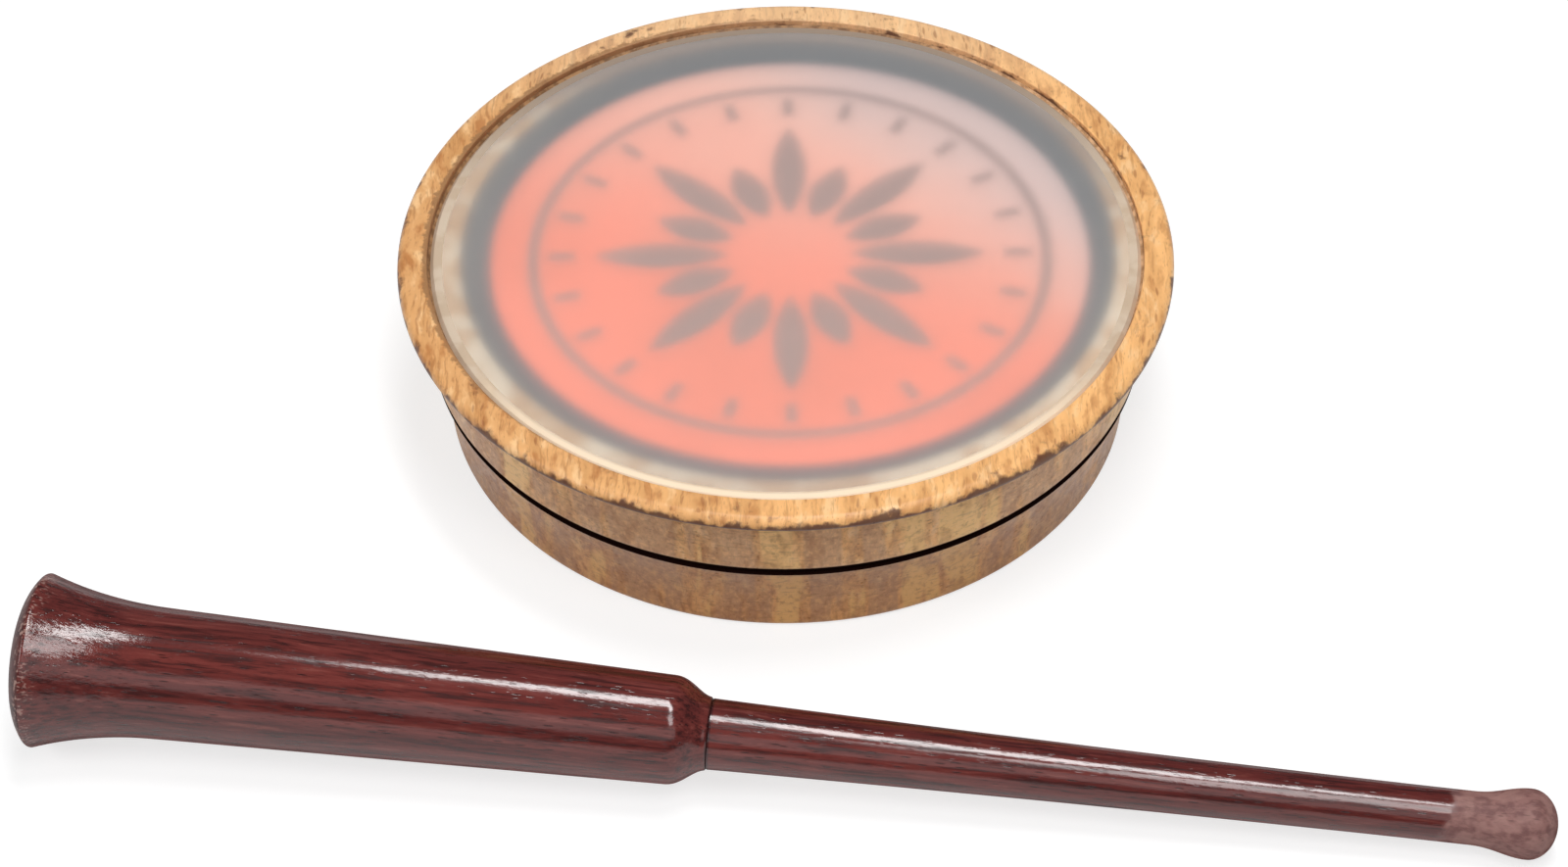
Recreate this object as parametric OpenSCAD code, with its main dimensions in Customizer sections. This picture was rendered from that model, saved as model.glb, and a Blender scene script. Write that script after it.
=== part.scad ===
/* [Playing glass] */
// Diameter of the frosted glass disc that the striker plays on
glass_d = 82.55; // [74:0.05:94]
// Thickness of the frosted glass disc
glass_t = 3; // [2:0.1:4.5]
// Depth of the glass's face below the top of the rim
glass_drop = 0.6; // [0.2:0.1:1.5]
// Ground edge taken off the glass and the soundboard
edge_bevel = 0.4; // [0.1:0.05:0.6]
// Gap between the edge of the glass and the rim round it
seat_gap = 0.32; // [0.1:0.02:0.5]
// Thickness of the glue that beds the glass on its ledge
bed_glue_t = 0.2; // [0.16:0.02:0.5]

/* [Print under the glass] */
// Difference in radius between the disc and the outer edge of the print's border
print_margin = 2.9; // [2.6:0.1:6]
// Width of the dark border round the coloured field
border_w = 3.5; // [2:0.1:8]
// Thickness of the printed layer
print_t = 0.1; // [0.06:0.01:0.14]
// How far the coloured field lies to the right of the glass's middle
field_right = 0.5; // [0:0.1:1]
// How far the coloured field lies behind the glass's middle
field_back = 1; // [0:0.1:1.5]
// How far the border's outer edge lies to the right of the glass's middle
border_right = 0.3; // [0:0.1:1]
// How far the border's outer edge lies behind the glass's middle
border_back = 2; // [0:0.1:2.3]

/* [Pot rim] */
// Height of the pot from the table to the top of its rim
pot_h = 21.9; // [20:0.1:32]
// Width of the rim from the recess of the glass to its outside
rim_w = 3.5; // [2.6:0.05:6]
// Height of the rim from its underside to its top
rim_h = 1.7; // [1.7:0.1:3]
// Round on the top outer edge of the rim
rim_round = 1.1; // [0.3:0.1:1.1]
// Round on the bottom outer edge of the rim
lip_round = 0.55; // [0.1:0.05:0.55]
// Small break of the rim's top inner edge
rim_break = 0.15; // [0.05:0.05:0.18]
// How far the rim stands out past the wall under it
rim_overhang = 2.5; // [1.4:0.05:3]
// Height of the hollow curve under the rim
cove_h = 2.5; // [1.5:0.1:4.5]

/* [Pot wall] */
// Height of the burned groove's middle above the table
groove_z = 10.75; // [7:0.05:14.5]
// Width of the burned groove at its mouth
groove_w = 0.9; // [0.5:0.1:1.6]
// Depth of the burned groove
groove_deep = 0.8; // [0.4:0.1:1.3]
// Small break of the groove's two lips
groove_break = 0.12; // [0.05:0.01:0.2]
// How far the wall draws in from the rim to the groove
upper_draw = 0.55; // [0:0.05:0.9]
// How far the wall draws in from the groove to the foot
lower_draw = 1.9; // [0.4:0.1:2.2]
// Round on the bottom outer edge of the pot
foot_round = 0.9; // [0.3:0.1:2]

/* [Sound chamber] */
// Width of the ledge under the glass
ledge_w = 4.5; // [3.4:0.1:6]
// Thickness of the pot's floor
floor_t = 4; // [3:0.1:6]
// Fillet between the chamber's wall and its floor
chamber_fillet = 4; // [1:0.5:6]
// Diameter of the pedestal in the middle of the chamber
pedestal_d = 25.4; // [18:0.2:32]
// Fillet round the foot of the pedestal
pedestal_fillet = 2; // [0.5:0.25:3]
// Number of sound holes through the floor
hole_count = 8; // [5:1:12]
// Diameter of a sound hole
hole_d = 9.5; // [6:0.1:11]

/* [Soundboard] */
// Clearance from the soundboard's edge to the chamber's wall
board_margin = 4; // [2:0.5:10]
// Thickness of the soundboard
board_t = 3; // [2:0.1:4]
// Air gap between the glass and the soundboard
board_gap = 5; // [3.5:0.1:6.5]
// Thickness of the glue under the soundboard
board_glue_t = 0.2; // [0.1:0.05:0.5]
// Bare edge of the pedestal's top round that glue
board_glue_inset = 1.2; // [0.5:0.1:4]

/* [Striker handle] */
// Length of the handle from the edge of its butt to the peg
handle_l = 73.7; // [62:0.1:90]
// Diameter of the butt at its edge
butt_d = 19.3; // [17:0.1:22]
// Height of the dome on the butt
butt_dome_h = 2.1; // [1.5:0.1:6]
// Length over which the butt flares out of the handle
flare_l = 13.5; // [8:0.5:25]
// Diameter that the handle's taper has at the butt
grip_butt_d = 15; // [13:0.05:16]
// Diameter of the handle where its shoulder starts
grip_neck_d = 11.9; // [10.5:0.05:12.8]
// Length of the rounded shoulder
shoulder_l = 4.6; // [2.5:0.1:8]
// Step between the handle's end and the peg
neck_step = 0.12; // [0.05:0.01:0.3]

/* [Striker peg] */
// Length of the peg that shows, to its very end
peg_l = 90.9; // [80:0.1:110]
// Diameter of the peg where it leaves the handle
peg_neck_d = 7.75; // [7.2:0.05:8.4]
// Smallest diameter of the peg, next to its tip
peg_waist_d = 5.8; // [5:0.02:6.4]
// Diameter of the flared tip
tip_d = 7.65; // [7:0.05:8.6]
// Length over which the peg flares to its tip
tip_flare_l = 6.2; // [4:0.1:10]
// Length of the domed end of the tip
tip_dome_l = 3.1; // [2:0.1:5]
// Diameter of the tenon inside the handle
tenon_d = 6.35; // [5.5:0.05:6.8]
// Length of the tenon inside the handle
tenon_l = 20; // [12:0.5:30]
// Thickness of the glue round the tenon
tenon_glue_t = 0.15; // [0.1:0.01:0.25]
// Play on each side of that glue
tenon_play = 0.02; // [0.01:0.01:0.04]

/* [Where the striker lies] */
// Distance from the rim's edge out to the striker's axis
striker_away = 17.8; // [12:0.05:40]
// How far the butt lies behind the point nearest to the pot
butt_back = 74.3; // [50:0.1:110]
// Angle between the striker and the front of the pot, in degrees
heading = 7.34; // [-20:0.02:20]

/* [Hidden] */

$fn = 180;
// Depth by which a cut runs past the face that it opens
overrun = 0.5;
// Number of straight steps along a rounded edge
edge_steps = 8;
// Number of straight steps along a long curve
curve_steps = 20;
// Width of the groove's floor as a share of its mouth
groove_floor_share = 0.5;
// How late the wall swells out between the foot and the groove
wall_swell_power = 2;
// How quickly the peg's taper dies out towards the tip
peg_taper_power = 1.75;
// How flat the butt's dome is in its middle before it falls off to its edge
dome_power = 4.4;
// How the flare of the butt dies out along the handle
flare_power = 2.1;
// How late the handle's shoulder falls off towards the peg
shoulder_power = 1.2;
// How late the peg swells out to its tip
tip_flare_power = 1.2;

glass_r = glass_d / 2;
recess_r = glass_r + seat_gap;
rim_r = recess_r + rim_w;
chamber_r = recess_r - ledge_w;
glass_top_z = pot_h - glass_drop;
glass_z = glass_top_z - glass_t;
ledge_z = glass_z - bed_glue_t;

print_r = glass_r - print_margin;
field_r = print_r - border_w;
print_z = glass_z - print_t;

rim_z = pot_h - rim_h;
cove_z = rim_z - cove_h;
neck_wall_r = rim_r - rim_overhang;
groove_wall_r = neck_wall_r - upper_draw;
foot_wall_r = groove_wall_r - lower_draw;

board_r = chamber_r - board_margin;
board_z = glass_z - board_gap - board_t;
pedestal_r = pedestal_d / 2;
pedestal_top_z = board_z - board_glue_t;
hole_ring_r = (pedestal_r + chamber_r) / 2;

butt_r = butt_d / 2;
tip_r = tip_d / 2;
shoulder_z = handle_l - shoulder_l;
peg_neck_r = peg_neck_d / 2;
peg_waist_r = peg_waist_d / 2;
handle_end_r = peg_neck_r + neck_step;
tip_end_z = handle_l + peg_l;
tip_wide_z = tip_end_z - tip_dome_l;
tip_flare_z = tip_wide_z - tip_flare_l;
tenon_r = tenon_d / 2;
glue_in_r = tenon_r + tenon_play;
glue_out_r = glue_in_r + tenon_glue_t;
bore_r = glue_out_r + tenon_play;
bore_l = tenon_l + tenon_glue_t;

// The striker touches the table with the edge of its butt and with its tip
dip = atan((butt_r - tip_r) / tip_wide_z);
butt_z = butt_r * cos(dip);
axis_away = rim_r + striker_away;

// Points on a quarter of an ellipse, from angle a to angle b
function arc_points(mid, half_r, half_z, a, b, steps) =
    [for (i = [0:steps]) let (t = a + (b - a) * i / steps)
        [mid[0] + half_r * cos(t), mid[1] + half_z * sin(t)]];

// Smooth step from 0 to 1
function ease(u) = (1 - cos(180 * u)) / 2;

function lower_wall_r(z) =
    foot_wall_r + lower_draw * pow((z - foot_round) / (groove_z - foot_round), wall_swell_power);

function wall_points() =
    let (low = groove_z - groove_w / 2, high = groove_z + groove_w / 2, wall_end = low - groove_break,
         floor_half = groove_w * groove_floor_share / 2, floor_r = groove_wall_r - groove_deep)
    concat(
        arc_points([foot_wall_r - foot_round, foot_round], foot_round, foot_round, -90, 0, edge_steps),
        [for (i = [1:edge_steps]) let (z = foot_round + (wall_end - foot_round) * i / edge_steps)
            [lower_wall_r(z), z]],
        [[lower_wall_r(low) - groove_break, low],
         [floor_r, groove_z - floor_half], [floor_r, groove_z + floor_half],
         [groove_wall_r - groove_break, high], [groove_wall_r, high + groove_break]]);

function rim_points() = concat(
    [for (i = [0:edge_steps]) let (t = 90 * i / edge_steps)
        [neck_wall_r + (rim_overhang - lip_round) * (1 - cos(t)), cove_z + cove_h * sin(t)]],
    arc_points([rim_r - lip_round, rim_z + lip_round], lip_round, lip_round, -90, 0, edge_steps),
    arc_points([rim_r - rim_round, pot_h - rim_round], rim_round, rim_round, 0, 90, edge_steps),
    [[recess_r + rim_break, pot_h], [recess_r, pot_h - rim_break], [recess_r, ledge_z]]);

function chamber_points() = concat(
    [[chamber_r, ledge_z]],
    arc_points([chamber_r - chamber_fillet, floor_t + chamber_fillet],
               chamber_fillet, chamber_fillet, 0, -90, edge_steps),
    arc_points([pedestal_r + pedestal_fillet, floor_t + pedestal_fillet],
               pedestal_fillet, pedestal_fillet, -90, -180, edge_steps),
    [[pedestal_r, pedestal_top_z], [0, pedestal_top_z]]);

// A disc with its upper and lower edges ground off
module ground_disc(r, t, bevel) {
    rotate_extrude()
        polygon([[0, 0], [r - bevel, 0], [r, bevel], [r, t - bevel], [r - bevel, t], [0, t]]);
}

function grip_r(z) = (grip_butt_d + (grip_neck_d - grip_butt_d) * z / shoulder_z) / 2;

function handle_points() = concat(
    [for (i = [0:curve_steps]) let (u = i / curve_steps)
        [butt_r * u, -butt_dome_h * (1 - pow(u, dome_power))]],
    [for (i = [1:curve_steps]) let (u = i / curve_steps, z = flare_l * u)
        [grip_r(z) + (butt_r - grip_butt_d / 2) * pow(1 - u, flare_power), z]],
    [for (i = [0:edge_steps]) let (u = i / edge_steps)
        [grip_neck_d / 2 + (handle_end_r - grip_neck_d / 2) * ease(pow(u, shoulder_power)),
         shoulder_z + shoulder_l * u]],
    [[0, handle_l]]);

function peg_points() = concat(
    [[0, handle_l - tenon_l], [tenon_r, handle_l - tenon_l], [tenon_r, handle_l]],
    [for (i = [0:curve_steps]) let (u = i / curve_steps)
        [peg_waist_r + (peg_neck_r - peg_waist_r) * pow(1 - u, peg_taper_power),
         handle_l + (tip_flare_z - handle_l) * u]],
    [for (i = [1:edge_steps]) let (u = i / edge_steps)
        [peg_waist_r + (tip_r - peg_waist_r) * pow(ease(u), tip_flare_power),
         tip_flare_z + tip_flare_l * u]],
    [for (i = [1:curve_steps]) let (t = 90 * i / curve_steps)
        [tip_r * cos(t), tip_wide_z + tip_dome_l * sin(t)]]);

// Lays the striker, drawn upright on its butt, on the table in front of the pot
module laid_down() {
    rotate([0, 0, -heading])
        translate([-butt_back, -axis_away, butt_z])
            rotate([0, 90 + dip, 0])
                children();
}

module pot() {
    color([0.89, 0.68, 0.44])
        difference() {
            rotate_extrude()
                polygon(concat([[0, 0]], wall_points(), rim_points(), chamber_points()));
            for (i = [0:hole_count - 1])
                rotate([0, 0, 360 * (i + 1 / 2) / hole_count])
                    translate([hole_ring_r, 0, -overrun])
                        cylinder(d = hole_d, h = floor_t + 2 * overrun);
        }
}

module striking_surface() {
    color([0.86, 0.88, 0.87, 0.5])
        translate([0, 0, glass_z])
            ground_disc(glass_r, glass_t, edge_bevel);
}

module surface_glue() {
    color([0.9, 0.88, 0.8])
        difference() {
            translate([0, 0, ledge_z])
                cylinder(r = glass_r - edge_bevel, h = bed_glue_t);
            translate([border_right, border_back, ledge_z - overrun])
                cylinder(r = print_r, h = bed_glue_t + 2 * overrun);
        }
}

module print_field() {
    color([0.93, 0.42, 0.33])
        translate([field_right, field_back, print_z])
            cylinder(r = field_r, h = print_t);
}

module print_border() {
    color([0.25, 0.26, 0.27])
        difference() {
            translate([border_right, border_back, print_z])
                cylinder(r = print_r, h = print_t);
            translate([field_right, field_back, print_z - overrun])
                cylinder(r = field_r, h = print_t + 2 * overrun);
        }
}

module soundboard() {
    color([0.3, 0.32, 0.34])
        translate([0, 0, board_z])
            ground_disc(board_r, board_t, edge_bevel);
}

module soundboard_glue() {
    color([0.9, 0.88, 0.8])
        translate([0, 0, pedestal_top_z])
            cylinder(r = pedestal_r - board_glue_inset, h = board_glue_t);
}

module striker_handle() {
    color([0.4, 0.18, 0.17])
        laid_down()
            difference() {
                rotate_extrude()
                    polygon(handle_points());
                translate([0, 0, handle_l - bore_l])
                    cylinder(r = bore_r, h = bore_l + overrun);
            }
}

module striker_peg() {
    color([0.42, 0.2, 0.19])
        laid_down()
            rotate_extrude()
                polygon(peg_points());
}

module peg_glue() {
    color([0.86, 0.78, 0.6])
        laid_down()
            translate([0, 0, handle_l - bore_l])
                difference() {
                    cylinder(r = glue_out_r, h = bore_l);
                    translate([0, 0, tenon_glue_t])
                        cylinder(r = glue_in_r, h = bore_l + overrun);
                }
}

pot();
striking_surface();
surface_glue();
print_field();
print_border();
soundboard();
soundboard_glue();
striker_handle();
striker_peg();
peg_glue();
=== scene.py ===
import math

import bpy
from mathutils import Matrix, Vector


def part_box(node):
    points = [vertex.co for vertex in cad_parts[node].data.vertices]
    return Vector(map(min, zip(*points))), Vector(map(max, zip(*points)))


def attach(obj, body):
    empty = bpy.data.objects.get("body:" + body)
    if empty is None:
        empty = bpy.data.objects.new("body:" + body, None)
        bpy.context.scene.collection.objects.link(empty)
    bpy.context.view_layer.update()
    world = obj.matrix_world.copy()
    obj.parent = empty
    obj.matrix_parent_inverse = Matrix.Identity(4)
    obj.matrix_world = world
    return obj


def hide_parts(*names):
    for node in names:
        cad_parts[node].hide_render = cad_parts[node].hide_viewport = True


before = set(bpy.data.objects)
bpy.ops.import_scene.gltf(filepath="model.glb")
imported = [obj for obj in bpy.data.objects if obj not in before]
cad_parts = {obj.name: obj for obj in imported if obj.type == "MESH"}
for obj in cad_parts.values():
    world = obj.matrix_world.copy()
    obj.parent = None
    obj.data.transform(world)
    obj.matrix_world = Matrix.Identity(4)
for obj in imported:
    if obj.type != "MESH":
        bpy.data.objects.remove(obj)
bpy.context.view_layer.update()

MM = 0.001
QUARTER = math.pi / 2

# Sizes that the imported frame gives
pot_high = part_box("pot")[1]
glass_low, glass_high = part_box("striking_surface")
field_low, field_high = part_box("print_field")
rim_r = pot_high.x
pot_h = pot_high.z
glass_r = glass_high.x
glass_z = glass_low.z
glass_top_z = glass_high.z
ledge_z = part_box("surface_glue")[0].z
field_mid = (field_low + field_high) / 2
pedestal_top_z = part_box("soundboard_glue")[0].z

# Sizes of the pot's turned outline
seat_gap = 0.32 * MM
rim_h = 1.7 * MM
rim_round = 1.1 * MM
lip_round = 0.55 * MM
rim_break = 0.15 * MM
rim_overhang = 2.5 * MM
cove_h = 2.5 * MM
groove_z = 10.75 * MM
groove_w = 0.9 * MM
groove_deep = 0.8 * MM
groove_break = 0.12 * MM
groove_floor_share = 0.5
upper_draw = 0.55 * MM
lower_draw = 1.9 * MM
wall_swell_power = 2
foot_round = 0.9 * MM
ledge_w = 4.5 * MM
floor_t = 4 * MM
chamber_fillet = 4 * MM
pedestal_r = 12.7 * MM
pedestal_fillet = 2 * MM
hole_count = 8
hole_r = 4.75 * MM
glass_bevel = 0.4 * MM
ground_band = 1.4 * MM
bead_sunk = 0.75 * MM
bead_waver = 0.05 * MM
bead_waver_l = 1.5 * MM

# Sizes of the pattern of the print, and how deep the disc's drawn underside takes it in
print_sunk = 0.02 * MM
mark_t = 0.02 * MM
leaf_count = 16
leaf_start = 7 * MM
leaf_l = 16 * MM
leaf_w = 4.2 * MM
short_leaf_share = 0.62
leaf_roundness = 0.8
dial_r = 30 * MM
dial_w = 1.3 * MM
tick_count = 24
tick_l = 2.4 * dial_w
tick_inset = 2.6 * dial_w

recess_r = glass_r + seat_gap
chamber_r = recess_r - ledge_w
neck_wall_r = rim_r - rim_overhang
groove_wall_r = neck_wall_r - upper_draw
foot_wall_r = groove_wall_r - lower_draw
rim_z = pot_h - rim_h
cove_z = rim_z - cove_h
hole_ring_r = (pedestal_r + chamber_r) / 2

# Sizes of the striker, measured along its axis from the edge of its butt
handle_l = 73.7 * MM
butt_r = 9.65 * MM
butt_dome_h = 2.1 * MM
dome_power = 4.4
butt_edge_round = 0.35 * MM
flare_l = 13.5 * MM
flare_power = 2.1
grip_butt_r = 7.5 * MM
grip_neck_r = 5.95 * MM
shoulder_l = 4.6 * MM
shoulder_power = 1.2
peg_neck_r = 3.875 * MM
neck_step = 0.12 * MM
neck_chamfer = 0.25 * MM
peg_l = 90.9 * MM
peg_waist_r = 2.9 * MM
peg_taper_power = 1.75
tip_r = 3.825 * MM
tip_flare_l = 6.2 * MM
tip_flare_power = 1.2
tip_dome_l = 3.1 * MM
tenon_r = 3.175 * MM
tenon_l = 20 * MM
bore_r = 3.365 * MM
bore_l = 20.15 * MM
striker_waver_l = 9 * MM
handle_waver = 0.05 * MM
peg_waver = 0.03 * MM

shoulder_z = handle_l - shoulder_l
handle_end_r = peg_neck_r + neck_step
tip_end_z = handle_l + peg_l
tip_wide_z = tip_end_z - tip_dome_l
tip_flare_z = tip_wide_z - tip_flare_l

# How the striker lies in front of the pot, on the edge of its butt and on its tip
striker_away = 17.8 * MM
butt_back = 74.3 * MM
heading = math.radians(7.34)
dip = math.atan((butt_r - tip_r) / tip_wide_z)
laid_down = (Matrix.Rotation(-heading, 4, "Z")
             @ Matrix.Translation((-butt_back, -(rim_r + striker_away), butt_r * math.cos(dip)))
             @ Matrix.Rotation(QUARTER + dip, 4, "Y"))
STRIKER_PLACE = laid_down.to_translation()
STRIKER_TURN = laid_down.to_euler()

# Straight steps round the turned pieces, and the other fineness of the meshes
pot_steps = 384
disc_steps = 256
handle_steps = 144
peg_steps = 112
dial_steps = 120
drill_steps = 72
leaf_steps = 12
weld_gap = 0.002 * MM
sharp_from = math.radians(38)


# Small helpers for node trees

def put(tree, kind, wires=None, **settings):
    """Adds a node, applies its settings, then wires or sets its inputs."""
    made = tree.nodes.new(kind)
    for name, value in settings.items():
        setattr(made, name, value)
    for key, value in (wires or {}).items():
        if isinstance(value, bpy.types.NodeSocket):
            tree.links.new(value, made.inputs[key])
        else:
            made.inputs[key].default_value = value
    return made


def calc(tree, work, *terms, clamp=False):
    return put(tree, "ShaderNodeMath", dict(enumerate(terms)), operation=work, use_clamp=clamp).outputs[0]


def times(tree, product, *others):
    for other in others:
        product = calc(tree, "MULTIPLY", product, other)
    return product


def vector_calc(tree, work, *terms):
    return put(tree, "ShaderNodeVectorMath", dict(enumerate(terms)), operation=work).outputs[0]


def apart(tree, vector, axes):
    """The parts of a vector along the named axes, in a list."""
    parts = put(tree, "ShaderNodeSeparateXYZ", {0: vector}).outputs
    return [parts[axis] for axis in axes]


def off_axis(tree, x, y):
    """Distance from the upright axis through the origin."""
    return calc(tree, "SQRT", calc(tree, "ADD", times(tree, x, x), times(tree, y, y)))


def fade(tree, value, start, end, to_start=0.0, to_end=1.0):
    """Runs smoothly from to_start to to_end while value goes from start to end."""
    made = put(tree, "ShaderNodeMapRange", {0: value, 1: start, 2: end, 3: to_start, 4: to_end},
               interpolation_type="SMOOTHSTEP")
    return made.outputs[0]


def mix_colour(tree, share, under, over, way="MIX"):
    made = put(tree, "ShaderNodeMix", {0: share, 6: under, 7: over}, data_type="RGBA", blend_type=way)
    return made.outputs[2]


def layered(tree, tone, layers):
    """Lays colours over a tone one after another; each comes with the share that it covers."""
    for share, over in layers:
        tone = mix_colour(tree, share, tone, over)
    return tone


def colour(r, g, b):
    return (r, g, b, 1.0)


def mottle(tree, where, per_mm, detail=2.0, roughness=0.5, seed=0.0):
    """Noise from 0 to 1 whose lumps are 1 / per_mm long along each axis, in mm."""
    scaled = vector_calc(tree, "MULTIPLY_ADD", where, per_mm, (seed, seed, seed))
    lumps = put(tree, "ShaderNodeTexNoise",
                {"Vector": scaled, "Scale": 1.0, "Detail": detail, "Roughness": roughness})
    return lumps.outputs[0]


def dashes(tree, where, per_mm, wide, seed=0.0):
    """1 inside scattered long pores and 0 outside them; wide is their share of a cell."""
    scaled = vector_calc(tree, "MULTIPLY_ADD", where, per_mm, (seed, seed, seed))
    cells = put(tree, "ShaderNodeTexVoronoi", {"Vector": scaled, "Scale": 1.0, "Randomness": 1.0})
    return fade(tree, cells.outputs["Distance"], wide, wide * 0.45)


def new_finish(name, roughness=0.5, ior=1.5):
    """A material with its Principled shader, its roughness and IOR set."""
    finish = bpy.data.materials.new(name)
    finish.use_nodes = True
    tree = finish.node_tree
    skin = tree.nodes["Principled BSDF"]
    skin.inputs["Roughness"].default_value = roughness
    skin.inputs["IOR"].default_value = ior
    return finish, tree, skin


def millimetres(tree, place=(0, 0, 0), turn=(0, 0, 0)):
    """Object coordinates in mm, seen from a piece that was laid at place and turned."""
    coords = put(tree, "ShaderNodeTexCoord")
    laid = put(tree, "ShaderNodeMapping",
               {"Vector": coords.outputs["Object"], "Location": place, "Rotation": turn,
                "Scale": (MM, MM, MM)}, vector_type="TEXTURE")
    return laid.outputs[0]


def raise_grain(tree, skin, height, depth_mm):
    """Bump; a height of 1 stands for depth_mm."""
    bump = put(tree, "ShaderNodeBump", {"Height": height, "Distance": depth_mm * MM, "Strength": 1.0})
    tree.links.new(bump.outputs[0], skin.inputs["Normal"])


# Colours, as linear shares of red, green and blue

WOOD_RIGHT = colour(1.0, 0.545, 0.215)
WOOD_LEFT = colour(0.76, 0.395, 0.158)
# painted pale haze of light over the back of the pot
BACK_PAINTED_HAZE = colour(1.0, 0.74, 0.48)
RING_BROWN = colour(0.62, 0.30, 0.105)
FLECK_BROWN = colour(0.50, 0.190, 0.055)
FLECK_GOLD = colour(1.0, 0.64, 0.32)
FIBRE_BROWN = colour(0.42, 0.17, 0.055)
PORE_BROWN = colour(0.30, 0.10, 0.034)
BAND_GREY = colour(0.57, 0.325, 0.190)
BAND_ORANGE = colour(1.0, 0.62, 0.25)
SCUFF_BROWN = colour(0.44, 0.18, 0.060)
SPECKLE_BROWN = colour(0.36, 0.15, 0.055)
SPECKLE_GOLD = colour(1.0, 0.60, 0.27)
TICK_BROWN = colour(0.30, 0.14, 0.06)
# painted light on the pot: shade on the foot, shade under the lip, shade at the edge of the recess, a
# highlight on the groove's lips
FOOT_PAINTED_SHADE = colour(0.70, 0.61, 0.52)
LIP_PAINTED_SHADE = colour(0.085, 0.026, 0.020)
RECESS_PAINTED_SHADE = colour(0.33, 0.165, 0.070)
GROOVE_LIP_PAINTED_HIGHLIGHT = colour(0.62, 0.40, 0.30)
CHAR_BLACK = colour(0.010, 0.002, 0.001)

WET_BROWN = colour(0.50, 0.27, 0.10)
WET_TAN = colour(0.64, 0.40, 0.19)
MILKY_GLUE = colour(0.80, 0.66, 0.47)
# tone that the ledge darkens to towards the back
LEDGE_BACK_DARK = colour(0.15, 0.070, 0.028)
THIN_GLUE = colour(0.44, 0.29, 0.19)
# the bead's colours: painted shade at the left, painted light at the right
BEAD_LEFT_PAINTED_SHADE = (colour(0.20, 0.100, 0.040), colour(0.42, 0.23, 0.10))
BEAD_RIGHT_PAINTED_LIGHT = (colour(0.42, 0.22, 0.10), colour(0.74, 0.45, 0.24))
WOOD_GLUE = (colour(0.62, 0.46, 0.24), colour(0.76, 0.62, 0.38))

FROST_FRONT = colour(1.0, 0.97, 0.94)
# painted shade of the frosted face towards the back
FROST_BACK_PAINTED_SHADE = colour(0.83, 0.85, 0.87)
EDGE_TAN = (colour(0.58, 0.44, 0.31), colour(0.66, 0.53, 0.40))
# painted shade at the back and painted highlight at the front of the ground edge
EDGE_PAINTED_SHADE = colour(0.33, 0.25, 0.19)
EDGE_PAINTED_HIGHLIGHT = colour(1.0, 0.80, 0.58)

RED_INK = (colour(0.94, 0.17, 0.070), colour(0.84, 0.15, 0.055))
# painted sheen on the red print: pale towards the back, milky towards the back right
RED_PAINTED_SHEEN = colour(0.99, 0.50, 0.37)
RED_PAINTED_MILKY_SHEEN = colour(0.66, 0.46, 0.42)
DARK_INK = (colour(0.022, 0.026, 0.030), colour(0.040, 0.044, 0.048))
MARK_INK = (colour(0.29, 0.150, 0.120), colour(0.25, 0.130, 0.105))
SLATE = (colour(0.045, 0.052, 0.062), colour(0.085, 0.095, 0.105))
SLATE_DUST = colour(0.16, 0.17, 0.18)

STRIKER_WOOD = (colour(0.105, 0.017, 0.015), colour(0.160, 0.030, 0.025))
STREAK_DARK = colour(0.026, 0.004, 0.004)
STREAK_RED = colour(0.25, 0.070, 0.055)
STRIKER_PORE = colour(0.014, 0.003, 0.003)
SEAM_DARK = colour(0.010, 0.003, 0.004)
BARE_WOOD = (colour(0.265, 0.125, 0.110), colour(0.17, 0.070, 0.064))
BARE_WORN = colour(0.36, 0.19, 0.165)
BARE_PORE = colour(0.08, 0.032, 0.030)
BUTT_NICK = colour(0.44, 0.27, 0.23)
END_GRAIN = (colour(0.045, 0.010, 0.010), colour(0.095, 0.024, 0.021))
END_PORE = colour(0.014, 0.004, 0.004)
END_NICK = colour(0.42, 0.26, 0.22)


# Finishes

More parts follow.
